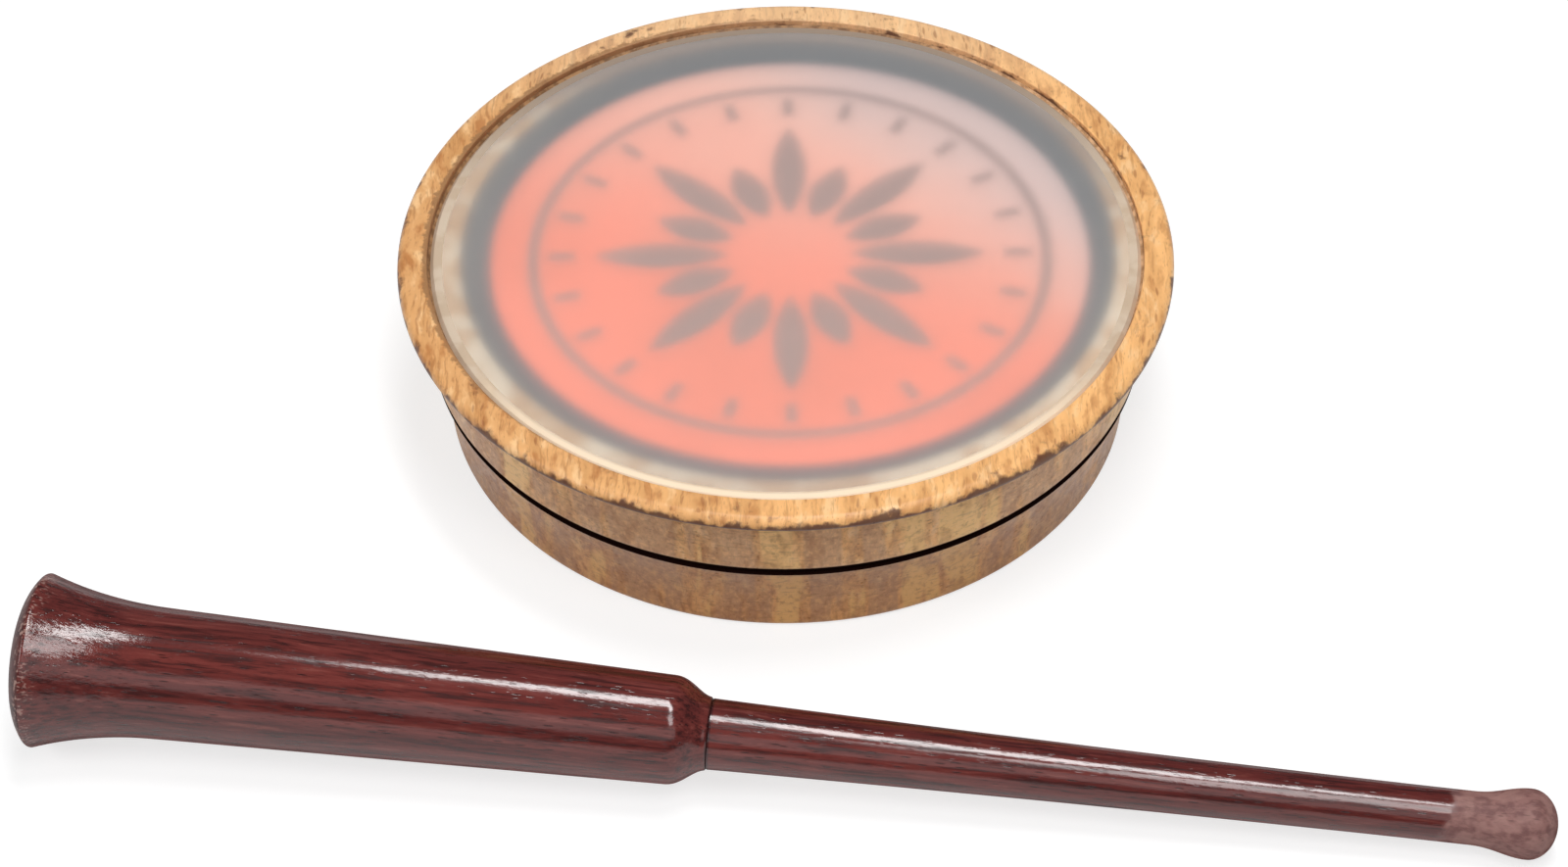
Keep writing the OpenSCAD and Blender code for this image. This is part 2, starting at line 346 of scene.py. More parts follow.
def pot_grain(tree, here):
    """Colour of the pot's quarter-sawn wood, its pores and its fibres, with a painted pale haze of light at
    the back; the fibres run along Y.
    """
    x, y = apart(tree, here, "XY")
    sway = mottle(tree, here, (0.05, 0.03, 0.06), detail=2.0, seed=3.1)
    curl = mottle(tree, here, (0.45, 0.2, 0.35), detail=2.0, seed=7.7)
    shift = calc(tree, "MULTIPLY_ADD", sway, 5.0, times(tree, curl, 1.3))
    sideways = put(tree, "ShaderNodeCombineXYZ", {0: shift}).outputs[0]
    bent = vector_calc(tree, "ADD", here, sideways)
    rings = mottle(tree, bent, (0.26, 0.02, 0.03), detail=3.0, roughness=0.62, seed=11.0)
    fibres = mottle(tree, bent, (2.2, 0.22, 0.35), detail=4.0, roughness=0.65, seed=23.0)
    flecks = mottle(tree, bent, (0.55, 0.20, 0.28), detail=3.0, roughness=0.6, seed=33.0)
    clouds = mottle(tree, here, (0.09, 0.06, 0.09), detail=2.0, seed=5.0)
    pores = dashes(tree, bent, (1.5, 0.30, 1.5), 0.30, seed=41.0)
    fine_pores = dashes(tree, bent, (3.2, 0.7, 3.2), 0.26, seed=57.0)
    crowd = fade(tree, rings, 0.45, 0.58)
    open_pores = calc(tree, "MAXIMUM", times(tree, pores, crowd), times(tree, fine_pores, 0.5))
    to_left = fade(tree, calc(tree, "MULTIPLY_ADD", clouds, 40.0, x), 45.0, -35.0)
    strong = fade(tree, to_left, 0.0, 0.8, 0.65, 1.0)
    tone = layered(tree, mix_colour(tree, to_left, WOOD_RIGHT, WOOD_LEFT), [
        (times(tree, fade(tree, rings, 0.46, 0.62, 0.0, 0.60), strong), RING_BROWN),
        (times(tree, fade(tree, flecks, 0.51, 0.68, 0.0, 0.80), strong), FLECK_BROWN),
        (fade(tree, flecks, 0.48, 0.34, 0.0, 0.75), FLECK_GOLD),
        (times(tree, fade(tree, fibres, 0.51, 0.66, 0.0, 0.60), strong), FIBRE_BROWN),
        # painted pale haze of light, growing towards the back
        (fade(tree, y, 18.0, 46.0, 0.0, 0.38), BACK_PAINTED_HAZE),
        (times(tree, open_pores, 0.50), PORE_BROWN)])
    height = calc(tree, "SUBTRACT", times(tree, fibres, 0.35), open_pores)
    return tone, height, open_pores


def pot_wood_finish():
    finish, tree, skin = new_finish("oiled_pot_wood")
    here = millimetres(tree)
    x, y, z = apart(tree, here, "XYZ")
    across = off_axis(tree, x, y)
    tone, height, open_pores = pot_grain(tree, here)
    ragged = mottle(tree, here, (1.1, 1.1, 0.9), detail=3.0, roughness=0.65, seed=71.0)

    # The wall below the rim: grey and orange bands, scuffs, speckles and ticks across the grain
    below_rim = fade(tree, z, (rim_z + lip_round) / MM, rim_z / MM)
    outside = fade(tree, across, chamber_r / MM + 1.0, chamber_r / MM + 2.0)
    wall = times(tree, below_rim, outside)
    bands = mottle(tree, here, (0.26, 0.02, 0.03), detail=2.0, roughness=0.55, seed=91.0)
    weft = mottle(tree, here, (0.6, 0.6, 2.6), detail=2.0, seed=95.0)
    scuffs = mottle(tree, here, (0.30, 0.20, 0.16), detail=3.0, roughness=0.6, seed=97.0)
    speckle = mottle(tree, here, (1.3, 1.1, 1.0), detail=3.0, roughness=0.7, seed=99.0)
    on_wall = [(fade(tree, bands, 0.47, 0.55, 0.05, 0.66), BAND_GREY),
               (fade(tree, bands, 0.46, 0.41, 0.0, 0.90), BAND_ORANGE),
               (fade(tree, scuffs, 0.50, 0.62, 0.0, 0.4), SCUFF_BROWN),
               (fade(tree, speckle, 0.50, 0.66, 0.0, 0.40), SPECKLE_BROWN),
               (fade(tree, speckle, 0.48, 0.34, 0.0, 0.45), SPECKLE_GOLD),
               (fade(tree, weft, 0.54, 0.70, 0.0, 0.32), TICK_BROWN)]
    tone = layered(tree, tone, [(times(tree, share, wall), over) for share, over in on_wall])
    # painted shade: the wall below the groove is darkened
    below_groove = fade(tree, z, (groove_z + groove_w / 2) / MM, (groove_z - groove_w / 2) / MM)
    tone = mix_colour(tree, times(tree, below_groove, wall), tone, FOOT_PAINTED_SHADE, way="MULTIPLY")

    # Painted shade: a dark line under the lip of the rim, broken up by the grain
    burr = mottle(tree, here, (0.32, 0.32, 0.3), detail=2.0, roughness=0.6, seed=75.0)
    reach = calc(tree, "MULTIPLY_ADD", burr, -3.2, calc(tree, "MULTIPLY_ADD", ragged, -1.3, z))
    lip = fade(tree, reach, rim_z / MM - 1.0, rim_z / MM - 1.6)
    above_cove = fade(tree, z, rim_z / MM - 1.3, rim_z / MM - 0.6)
    painted_lip_shade = times(tree, lip, above_cove, outside)

    # Painted shade at the edge of the recess, heavier to the left
    to_left = fade(tree, calc(tree, "MULTIPLY_ADD", y, -0.4, x), 10.0, -40.0)
    spread = calc(tree, "MULTIPLY_ADD", ragged, 1.7, times(tree, to_left, -0.75))
    recess_edge = calc(tree, "ADD", across, spread)
    inner_edge = fade(tree, recess_edge, recess_r / MM + 0.9, recess_r / MM + 0.45)
    above_ledge = fade(tree, z, ledge_z / MM, ledge_z / MM + 0.5)
    heavier = calc(tree, "MULTIPLY_ADD", to_left, 0.75, 0.1)
    painted_recess_shade = times(tree, inner_edge, above_ledge, heavier)

    # The burned groove, and a painted highlight on the lips beside it
    from_groove = calc(tree, "ABSOLUTE", calc(tree, "SUBTRACT", z, groove_z / MM))
    lip_highlight_edge = calc(tree, "MULTIPLY_ADD", ragged, 0.28, from_groove)
    wear_and_highlight = times(tree, fade(tree, lip_highlight_edge, 1.15, 0.68), outside)
    char = times(tree, fade(tree, from_groove, 0.72, 0.56), outside)
    tone = layered(tree, tone, [(times(tree, painted_lip_shade, 0.88), LIP_PAINTED_SHADE), (painted_recess_shade, RECESS_PAINTED_SHADE),
                                (times(tree, wear_and_highlight, 0.3), GROOVE_LIP_PAINTED_HIGHLIGHT), (char, CHAR_BLACK)])
    tree.links.new(tone, skin.inputs["Base Color"])

    inside = fade(tree, across, chamber_r / MM + 0.6, chamber_r / MM - 0.2)
    sheen_loss = mottle(tree, here, (0.5, 0.3, 0.5), detail=3.0, seed=83.0)
    rough = fade(tree, sheen_loss, 0.3, 0.7, 0.36, 0.46)
    rough = calc(tree, "ADD", rough, times(tree, calc(tree, "MAXIMUM", char, inside), 0.35))
    rough = calc(tree, "ADD", rough, times(tree, open_pores, 0.2), clamp=True)
    tree.links.new(rough, skin.inputs["Roughness"])
    tree.links.new(fade(tree, char, 0.0, 1.0, 0.35, 0.05), skin.inputs["Specular IOR Level"])
    raise_grain(tree, skin, height, 0.05)
    return finish


def ledge_glue_finish():
    """Set glue, milky in blotches where it took air, clear elsewhere over the dark wet ledge."""
    finish, tree, skin = new_finish("set_clear_glue", roughness=0.3)
    here = millimetres(tree)
    x, y = apart(tree, here, "XY")
    blotches = mottle(tree, here, (0.22, 0.22, 0.22), detail=3.0, roughness=0.6, seed=13.0)
    beads = mottle(tree, here, (0.9, 0.9, 0.9), detail=2.0, seed=17.0)
    to_back = calc(tree, "MULTIPLY_ADD", x, 0.25, y)
    # darker towards the back
    darker_to_back = fade(tree, calc(tree, "MULTIPLY_ADD", blotches, 16.0, to_back), 20.0, 42.0, 0.0, 0.95)
    tone = layered(tree, mix_colour(tree, fade(tree, beads, 0.35, 0.65), WET_BROWN, WET_TAN), [
        (fade(tree, blotches, 0.46, 0.58), MILKY_GLUE),
        (darker_to_back, LEDGE_BACK_DARK),
        (fade(tree, y, -30.0, -40.0, 0.0, 0.4), THIN_GLUE)])
    tree.links.new(tone, skin.inputs["Base Color"])
    raise_grain(tree, skin, beads, 0.05)
    return finish


def ink_finish(name, ink, back_sheen=None, corner_sheen=None):
    """Printed ink, laid on a little unevenly; it may carry a painted pale sheen towards the back and a
    painted milky sheen towards the back right.
    """
    finish, tree, skin = new_finish(name, roughness=0.6)
    here = millimetres(tree)
    fresh, dusk = ink
    cover = mottle(tree, here, (0.07, 0.07, 0.07), detail=3.0, seed=19.0)
    speck = mottle(tree, here, (3.0, 3.0, 3.0), detail=2.0, seed=29.0)
    layers = [(fade(tree, cover, 0.35, 0.7), dusk), (fade(tree, speck, 0.6, 0.8, 0.0, 0.3), dusk)]
    if back_sheen and corner_sheen:
        x, y = apart(tree, here, "XY")
        # painted sheen: paler towards the back, milkier towards the back right
        to_back = calc(tree, "MULTIPLY_ADD", cover, 14.0, calc(tree, "MULTIPLY_ADD", x, 0.45, y))
        to_corner = calc(tree, "MULTIPLY_ADD", cover, 10.0, calc(tree, "ADD", x, y))
        layers += [(fade(tree, to_back, -4.0, 46.0), back_sheen), (fade(tree, to_corner, 24.0, 56.0), corner_sheen)]
    tree.links.new(layered(tree, fresh, layers), skin.inputs["Base Color"])
    raise_grain(tree, skin, speck, 0.005)
    return finish


def ray_is(tree, kind):
    return put(tree, "ShaderNodeLightPath").outputs[f"Is {kind} Ray"]


def pass_light(tree, skin):
    """Lets diffuse and shadow rays straight through, so that what lies under the glass is lit."""
    shader = skin.outputs[0]
    for kind in ("Diffuse", "Shadow"):
        clear = put(tree, "ShaderNodeBsdfTransparent").outputs[0]
        shader = put(tree, "ShaderNodeMixShader", {0: ray_is(tree, kind), 1: shader, 2: clear}).outputs[0]
    tree.links.new(shader, tree.nodes["Material Output"].inputs["Surface"])


def frosted_glass_finish():
    """Sanded glass, mostly clear and milky for the rest; its tone darkens and cools from the front to the
    back as painted shade.
    """
    finish, tree, skin = new_finish("frosted_face", roughness=0.69)
    skin.inputs["Transmission Weight"].default_value = 0.81
    here = millimetres(tree)
    x, y = apart(tree, here, "XY")
    haze = mottle(tree, here, (0.06, 0.06, 0.06), detail=3.0, seed=31.0)
    drift = calc(tree, "MULTIPLY_ADD", haze, 30.0, calc(tree, "MULTIPLY_ADD", x, 0.4, y))
    # painted shade: the tone darkens towards the back
    tone = mix_colour(tree, fade(tree, drift, 0.0, 62.0), FROST_FRONT, FROST_BACK_PAINTED_SHADE)
    tree.links.new(tone, skin.inputs["Base Color"])
    sanded = mottle(tree, here, (9.0, 9.0, 9.0), detail=3.0, seed=37.0)
    raise_grain(tree, skin, sanded, 0.006)
    pass_light(tree, skin)
    return finish


def ground_edge_finish():
    """Ground outer band of the disc: tan at the sides, with a painted highlight in pale cream at the front
    and painted shade in dusky brown at the back.
    """
    finish, tree, skin = new_finish("ground_edge", roughness=0.6)
    here = millimetres(tree)
    x, y = apart(tree, here, "XY")
    haze = mottle(tree, here, (0.25, 0.25, 0.25), detail=3.0, roughness=0.6, seed=35.0)
    drift = calc(tree, "MULTIPLY_ADD", haze, 10.0, y)
    tan = mix_colour(tree, fade(tree, haze, 0.4, 0.6), *EDGE_TAN)
    # painted shade towards the back
    tan = mix_colour(tree, fade(tree, drift, 10.0, 40.0), tan, EDGE_PAINTED_SHADE)
    inner_r = (glass_r - ground_band) / MM
    inner = fade(tree, off_axis(tree, x, y), inner_r + 0.5, inner_r)
    tone = layered(tree, tan, [
        # painted highlight towards the front
        (fade(tree, drift, -12.0, -30.0), EDGE_PAINTED_HIGHLIGHT),
        (times(tree, inner, 0.7), tan)])
    tree.links.new(tone, skin.inputs["Base Color"])
    sanded = mottle(tree, here, (6.0, 6.0, 6.0), detail=3.0, seed=37.0)
    raise_grain(tree, skin, sanded, 0.01)
    pass_light(tree, skin)
    return finish


def bead_finish():
    """Glue squeezed up round the disc, with dust in it: dark brown at the left as painted shade, pale at the
    right as painted light.
    """
    finish, tree, skin = new_finish("dusty_glue_bead", roughness=0.55)
    here = millimetres(tree)
    x, y = apart(tree, here, "XY")
    dust = mottle(tree, here, (0.9, 0.9, 0.9), detail=3.0, roughness=0.65, seed=79.0)
    dusty = fade(tree, dust, 0.38, 0.62)
    # painted shade at the left, painted light at the right
    to_right = fade(tree, calc(tree, "MULTIPLY_ADD", y, -0.4, x), -8.0, 24.0)
    left, right = [mix_colour(tree, dusty, *pair) for pair in (BEAD_LEFT_PAINTED_SHADE, BEAD_RIGHT_PAINTED_LIGHT)]
    tone = mix_colour(tree, to_right, left, right)
    tree.links.new(tone, skin.inputs["Base Color"])
    raise_grain(tree, skin, dust, 0.08)
    return finish


def slate_finish():
    finish, tree, skin = new_finish("cleft_slate", roughness=0.62)
    here = millimetres(tree)
    cleft = mottle(tree, here, (0.12, 0.2, 0.9), detail=6.0, roughness=0.6, seed=43.0)
    dust = mottle(tree, here, (2.0, 2.0, 2.0), detail=3.0, seed=47.0)
    tone = mix_colour(tree, fade(tree, cleft, 0.35, 0.68), *SLATE)
    tone = mix_colour(tree, fade(tree, dust, 0.6, 0.8, 0.0, 0.35), tone, SLATE_DUST)
    tree.links.new(tone, skin.inputs["Base Color"])
    raise_grain(tree, skin, cleft, 0.12)
    return finish


def wood_glue_finish():
    finish, tree, skin = new_finish("set_wood_glue", roughness=0.35)
    here = millimetres(tree, STRIKER_PLACE, STRIKER_TURN)
    runs = mottle(tree, here, (0.9, 0.9, 0.15), detail=3.0, seed=53.0)
    tree.links.new(mix_colour(tree, fade(tree, runs, 0.35, 0.7), *WOOD_GLUE), skin.inputs["Base Color"])
    raise_grain(tree, skin, runs, 0.04)
    return finish


def striker_finish(name, seed):
    """Dark reddish brown varnished wood, with bare sanded wood at the very tip."""
    finish, tree, skin = new_finish(name, ior=1.52)
    here = millimetres(tree, STRIKER_PLACE, STRIKER_TURN)
    x, z = apart(tree, here, "XZ")
    sway = mottle(tree, here, (0.08, 0.08, 0.03), detail=2.0, seed=seed + 2.0)
    bent = vector_calc(tree, "MULTIPLY_ADD", sway, (2.4, 2.4, 0.0), here)
    bands = mottle(tree, bent, (0.55, 0.25, 0.008), detail=3.0, roughness=0.6, seed=seed)
    streaks = mottle(tree, bent, (2.0, 2.0, 0.12), detail=4.0, roughness=0.65, seed=seed + 9.0)
    pores = dashes(tree, bent, (2.3, 2.3, 0.28), 0.22, seed=seed + 17.0)
    fine = dashes(tree, bent, (4.5, 4.5, 0.5), 0.25, seed=seed + 27.0)
    open_pores = calc(tree, "MAXIMUM", pores, times(tree, fine, 0.5))
    from_seam = calc(tree, "ABSOLUTE", calc(tree, "SUBTRACT", z, handle_l / MM))
    varnished = layered(tree, mix_colour(tree, fade(tree, bands, 0.38, 0.64), *STRIKER_WOOD), [
        (fade(tree, streaks, 0.46, 0.66, 0.0, 0.8), STREAK_DARK),
        (fade(tree, streaks, 0.44, 0.28, 0.0, 0.55), STREAK_RED),
        (times(tree, open_pores, 0.8), STRIKER_PORE),
        (times(tree, fade(tree, from_seam, 0.32, 0.10), 0.7), SEAM_DARK)])

    # Bare wood at the tip, from a ragged line on, and nicks along the edge of the butt
    slant = calc(tree, "MULTIPLY_ADD", x, 0.22, z)
    ragged = mottle(tree, here, (0.9, 0.9, 0.5), detail=2.0, seed=seed + 33.0)
    sanded = fade(tree, calc(tree, "MULTIPLY_ADD", ragged, 2.2, slant), 152.9, 154.3)
    nap = mottle(tree, here, (1.7, 1.7, 0.7), detail=3.0, roughness=0.65, seed=seed + 39.0)
    wear_and_highlight = mottle(tree, here, (0.55, 0.55, 0.4), detail=2.0, seed=seed + 63.0)
    bare = layered(tree, mix_colour(tree, fade(tree, nap, 0.38, 0.64), *BARE_WOOD), [
        (fade(tree, wear_and_highlight, 0.47, 0.60, 0.0, 0.55), BARE_WORN),
        (times(tree, open_pores, 0.5), BARE_PORE)])
    at_butt = fade(tree, calc(tree, "MULTIPLY_ADD", streaks, 4.0, z), 4.0, 2.2)
    nicks = mottle(tree, here, (3.4, 3.4, 1.4), detail=2.0, seed=seed + 51.0)
    nicked = times(tree, at_butt, fade(tree, nicks, 0.54, 0.64, 0.0, 0.6))
    tone = layered(tree, varnished, [(sanded, bare), (nicked, BUTT_NICK)])
    tree.links.new(tone, skin.inputs["Base Color"])

    patchy = mottle(tree, here, (0.35, 0.35, 0.08), detail=3.0, seed=seed + 45.0)
    facing = put(tree, "ShaderNodeLayerWeight").outputs["Facing"]
    rough = fade(tree, patchy, 0.3, 0.7, 0.10, 0.15)
    rough = calc(tree, "MULTIPLY_ADD", fade(tree, streaks, 0.52, 0.64), 0.08, rough)
    rough = calc(tree, "MULTIPLY_ADD", fade(tree, facing, 0.6, 0.95), 0.35, rough)
    rough = calc(tree, "MAXIMUM", rough, times(tree, sanded, 0.68))
    tree.links.new(rough, skin.inputs["Roughness"])
    tree.links.new(fade(tree, facing, 0.38, 0.78, 0.5, 0.02), skin.inputs["Specular IOR Level"])
    ripple = mottle(tree, bent, (1.3, 1.3, 0.12), detail=1.0, seed=seed + 57.0)
    rubbed = fade(tree, z, 17.0, 5.0, 0.9, 3.2)
    height = calc(tree, "SUBTRACT", ripple, times(tree, open_pores, 0.7))
    raise_grain(tree, skin, calc(tree, "MULTIPLY_ADD", nap, rubbed, height), 0.014)
    return finish


def butt_end_finish():
    """End grain of the domed butt: dull, dark, with pores as dots and a ring of bright nicks."""
    finish, tree, skin = new_finish("striker_end_grain")
    skin.inputs["Specular IOR Level"].default_value = 0.25
    here = millimetres(tree, STRIKER_PLACE, STRIKER_TURN)
    [z] = apart(tree, here, "Z")
    bands = mottle(tree, here, (0.5, 0.25, 0.02), detail=3.0, roughness=0.6, seed=61.0)
    dots = dashes(tree, here, (2.4, 2.4, 0.4), 0.3, seed=65.0)
    nicks = mottle(tree, here, (1.6, 1.6, 1.6), detail=2.0, seed=69.0)
    at_edge = fade(tree, z, -1.1, -0.2)
    tone = layered(tree, mix_colour(tree, fade(tree, bands, 0.36, 0.64), *END_GRAIN), [
        (times(tree, dots, 0.6), END_PORE),
        (times(tree, at_edge, fade(tree, nicks, 0.52, 0.62, 0.0, 0.8)), END_NICK)])
    tree.links.new(tone, skin.inputs["Base Color"])
    raise_grain(tree, skin, dots, 0.03)
    return finish


# Geometry node trees

def new_shape_tree(name, sizes):
    """A geometry node tree with named inputs; sizes maps each name to its kind of socket."""
    tree = bpy.data.node_groups.new(name, "GeometryNodeTree")
    tree.interface.new_socket("Geometry", in_out="INPUT", socket_type="NodeSocketGeometry")
    for label, kind in sizes.items():
        tree.interface.new_socket(label, in_out="INPUT", socket_type=kind)
    tree.interface.new_socket("Geometry", in_out="OUTPUT", socket_type="NodeSocketGeometry")
    given = tree.nodes.new("NodeGroupInput").outputs
    return tree, given


def hand_over(tree, shape, given):
    """Marks sharp edges, shades the rest smooth, makes instances real and sets the finish."""
    real = put(tree, "GeometryNodeRealizeInstances", {0: shape})
    edge_angle = put(tree, "GeometryNodeInputMeshEdgeAngle").outputs["Unsigned Angle"]
    sharp = put(tree, "FunctionNodeCompare", {0: edge_angle, 1: sharp_from},
                data_type="FLOAT", operation="GREATER_THAN")
    marked = put(tree, "GeometryNodeStoreNamedAttribute",
                 {"Geometry": real.outputs[0], "Name": "sharp_edge", "Value": sharp.outputs[0]},
                 data_type="BOOLEAN", domain="EDGE")
    smooth = put(tree, "GeometryNodeSetShadeSmooth", {0: marked.outputs[0]})
    painted = put(tree, "GeometryNodeSetMaterial", {0: smooth.outputs[0], "Material": given["Finish"]})
    out = tree.nodes.new("NodeGroupOutput")
    tree.links.new(painted.outputs[0], out.inputs[0])


def on_circle(tree, radius, angle):
    """X and Y of a point on a circle, as inputs 0 and 1 of a Combine XYZ node."""
    return {0: times(tree, radius, calc(tree, "COSINE", angle)),
            1: times(tree, radius, calc(tree, "SINE", angle))}


def ring_points(tree, count, radius, first_step=0.0):
    """Points evenly round a circle, the first one first_step steps past X, and the angle of each."""
    index = put(tree, "GeometryNodeInputIndex").outputs[0]
    step = calc(tree, "DIVIDE", calc(tree, "ADD", index, first_step), count)
    angle = times(tree, step, math.tau)
    place = put(tree, "ShaderNodeCombineXYZ", on_circle(tree, radius, angle)).outputs[0]
    points = put(tree, "GeometryNodePoints", {"Count": count, "Position": place}).outputs[0]
    return points, angle


def turned_piece_tree():
    """Spins an outline, given as points in the XZ plane, round Z, as on a lathe."""
    tree, given = new_shape_tree("turned_piece", {
        "Steps Round": "NodeSocketInt", "Hand Waver": "NodeSocketFloat", "Waver Length": "NodeSocketFloat",
        "Place": "NodeSocketVector", "Turn": "NodeSocketRotation", "Finish": "NodeSocketMaterial"})
    outline = given["Geometry"]
    count = put(tree, "GeometryNodeAttributeDomainSize", {0: outline}).outputs["Point Count"]
    columns = calc(tree, "ADD", given["Steps Round"], 1.0)
    grid = put(tree, "GeometryNodeMeshGrid", {"Vertices X": columns, "Vertices Y": count}).outputs["Mesh"]
    index = put(tree, "GeometryNodeInputIndex").outputs[0]
    column = calc(tree, "FLOOR", calc(tree, "DIVIDE", calc(tree, "ADD", index, 0.5), count))
    row = calc(tree, "SUBTRACT", index, times(tree, column, count))
    place = put(tree, "GeometryNodeInputPosition").outputs[0]
    point = put(tree, "GeometryNodeSampleIndex", {"Geometry": outline, "Value": place, "Index": row},
                data_type="FLOAT_VECTOR", domain="POINT")
    radius, height = apart(tree, point.outputs[0], "XZ")
    angle = times(tree, calc(tree, "DIVIDE", column, given["Steps Round"]), math.tau)
    spun_place = put(tree, "ShaderNodeCombineXYZ", {**on_circle(tree, radius, angle), 2: height}).outputs[0]
    spun = put(tree, "GeometryNodeSetPosition", {"Geometry": grid, "Position": spun_place}).outputs[0]
    whole = put(tree, "GeometryNodeMergeByDistance", {"Geometry": spun, "Distance": weld_gap}).outputs[0]
    lumps = put(tree, "ShaderNodeTexNoise",
                {"Vector": place, "Scale": calc(tree, "DIVIDE", 1.0, given["Waver Length"]), "Detail": 2.0})
    inward = times(tree, lumps.outputs[0], given["Hand Waver"], -1.0)
    normal = put(tree, "GeometryNodeInputNormal").outputs[0]
    push = put(tree, "ShaderNodeVectorMath", {0: normal, "Scale": inward}, operation="SCALE").outputs[0]
    worked = put(tree, "GeometryNodeSetPosition", {"Geometry": whole, "Offset": push}).outputs[0]
    laid = put(tree, "GeometryNodeTransform",
               {"Geometry": worked, "Translation": given["Place"], "Rotation": given["Turn"]})
    hand_over(tree, laid.outputs[0], given)
    return tree


def sound_holes_tree():
    """Drills a ring of holes upwards through the floor of a turned pot."""
    tree, given = new_shape_tree("sound_holes", {
        "Hole Count": "NodeSocketInt", "Hole Radius": "NodeSocketFloat", "Ring Radius": "NodeSocketFloat",
        "Drill Depth": "NodeSocketFloat", "Finish": "NodeSocketMaterial"})
    ring = ring_points(tree, given["Hole Count"], given["Ring Radius"], first_step=0.5)[0]
    drill = put(tree, "GeometryNodeMeshCylinder",
                {"Vertices": drill_steps, "Radius": given["Hole Radius"],
                 "Depth": times(tree, given["Drill Depth"], 2.0)}).outputs["Mesh"]
    drills = put(tree, "GeometryNodeInstanceOnPoints", {"Points": ring, "Instance": drill}).outputs[0]
    real_drills = put(tree, "GeometryNodeRealizeInstances", {0: drills}).outputs[0]
    cut = put(tree, "GeometryNodeMeshBoolean", {"Mesh 1": given["Geometry"], "Mesh 2": real_drills},
              operation="DIFFERENCE", solver="EXACT")
    hand_over(tree, cut.outputs[0], given)
    return tree


def print_marks_tree():
    """A ring of leaf-shaped marks, long and short in turn, inside a plain dial ring with ticks."""
    tree, given = new_shape_tree("print_marks", {
        "Leaf Count": "NodeSocketInt", "Leaf Start": "NodeSocketFloat", "Leaf Length": "NodeSocketFloat",
        "Leaf Width": "NodeSocketFloat", "Short Share": "NodeSocketFloat", "Tick Count": "NodeSocketInt",
        "Tick Length": "NodeSocketFloat", "Tick Radius": "NodeSocketFloat", "Ring Radius": "NodeSocketFloat",
        "Ring Width": "NodeSocketFloat", "Thickness": "NodeSocketFloat", "Middle": "NodeSocketVector",
        "Finish": "NodeSocketMaterial"})
    flat = given["Thickness"]
    ring_w = given["Ring Width"]

    def ring_of(mark, count, radius, long, wide):
        points, angle = ring_points(tree, count, radius)
        turn = put(tree, "ShaderNodeCombineXYZ", {2: angle}).outputs[0]
        size = put(tree, "ShaderNodeCombineXYZ", {0: long, 1: wide, 2: flat}).outputs[0]
        return put(tree, "GeometryNodeInstanceOnPoints",
                   {"Points": points, "Instance": mark, "Rotation": turn, "Scale": size}).outputs[0]

    def disc(half_widths, height):
        radius = calc(tree, "MULTIPLY_ADD", ring_w, half_widths, given["Ring Radius"])
        return put(tree, "GeometryNodeMeshCylinder",
                   {"Vertices": dial_steps, "Depth": height, "Radius": radius}).outputs["Mesh"]

    odd = calc(tree, "MODULO", put(tree, "GeometryNodeInputIndex").outputs[0], 2.0)
    cut_off = calc(tree, "SUBTRACT", 1.0, given["Short Share"])
    shorter = calc(tree, "SUBTRACT", 1.0, times(tree, odd, cut_off))
    leaves = ring_of(given["Geometry"], given["Leaf Count"], given["Leaf Start"],
                     times(tree, given["Leaf Length"], shorter), given["Leaf Width"])
    tick = put(tree, "GeometryNodeMeshCube", {"Size": (1.0, 1.0, 1.0)}).outputs["Mesh"]
    ticks = ring_of(tick, given["Tick Count"], given["Tick Radius"], given["Tick Length"], ring_w)
    band = put(tree, "GeometryNodeMeshBoolean",
               {"Mesh 1": disc(0.5, flat), "Mesh 2": disc(-0.5, times(tree, flat, 3.0))},
               operation="DIFFERENCE", solver="EXACT").outputs[0]
    joined = tree.nodes.new("GeometryNodeJoinGeometry")
    for part in (leaves, ticks, band):
        tree.links.new(part, joined.inputs[0])
    laid = put(tree, "GeometryNodeTransform",
               {"Geometry": joined.outputs[0], "Translation": given["Middle"]})
    hand_over(tree, laid.outputs[0], given)
    return tree


def shape(name, start, steps):
    """Runs one or more trees on a start mesh and keeps the result as a plain mesh."""
    blank = bpy.data.objects.new(name + "_blank", start)
    bpy.context.scene.collection.objects.link(blank)
    for tree, values in steps:
        modifier = blank.modifiers.new(tree.name, "NODES")
        modifier.node_group = tree
        for socket in tree.interface.items_tree:
            if socket.in_out == "INPUT" and socket.name in values:
                modifier[socket.identifier] = values[socket.name]
    evaluated = blank.evaluated_get(bpy.context.evaluated_depsgraph_get())
    mesh = bpy.data.meshes.new_from_object(evaluated)
    mesh.name = name
    mesh.materials.clear()
    mesh.materials.append(steps[-1][1]["Finish"])
    mesh.polygons.foreach_set("material_index", [0] * len(mesh.polygons))
    bpy.data.objects.remove(blank)
    piece = bpy.data.objects.new(name, mesh)
    bpy.context.scene.collection.objects.link(piece)
    return piece


def outline_mesh(name, points):
    mesh = bpy.data.meshes.new(name)
    mesh.from_pydata([(r, 0.0, z) for r, z in points], [], [])
    return mesh


# Outlines; an open one runs from the lower end of the axis round the outside to its upper end

def arc(mid_r, mid_z, half_r, half_z, start, end, steps):
    """Points on a quarter of an ellipse; start and end are in degrees."""
    turns = [math.radians(start + (end - start) * i / steps) for i in range(steps + 1)]
    return [(mid_r + half_r * math.cos(t), mid_z + half_z * math.sin(t)) for t in turns]


def ease(u):
    return (1 - math.cos(math.pi * u)) / 2


def stretch(start, end, steps):
    """Even steps from start to end, with both."""
    return [start + (end - start) * i / steps for i in range(steps)] + [end]


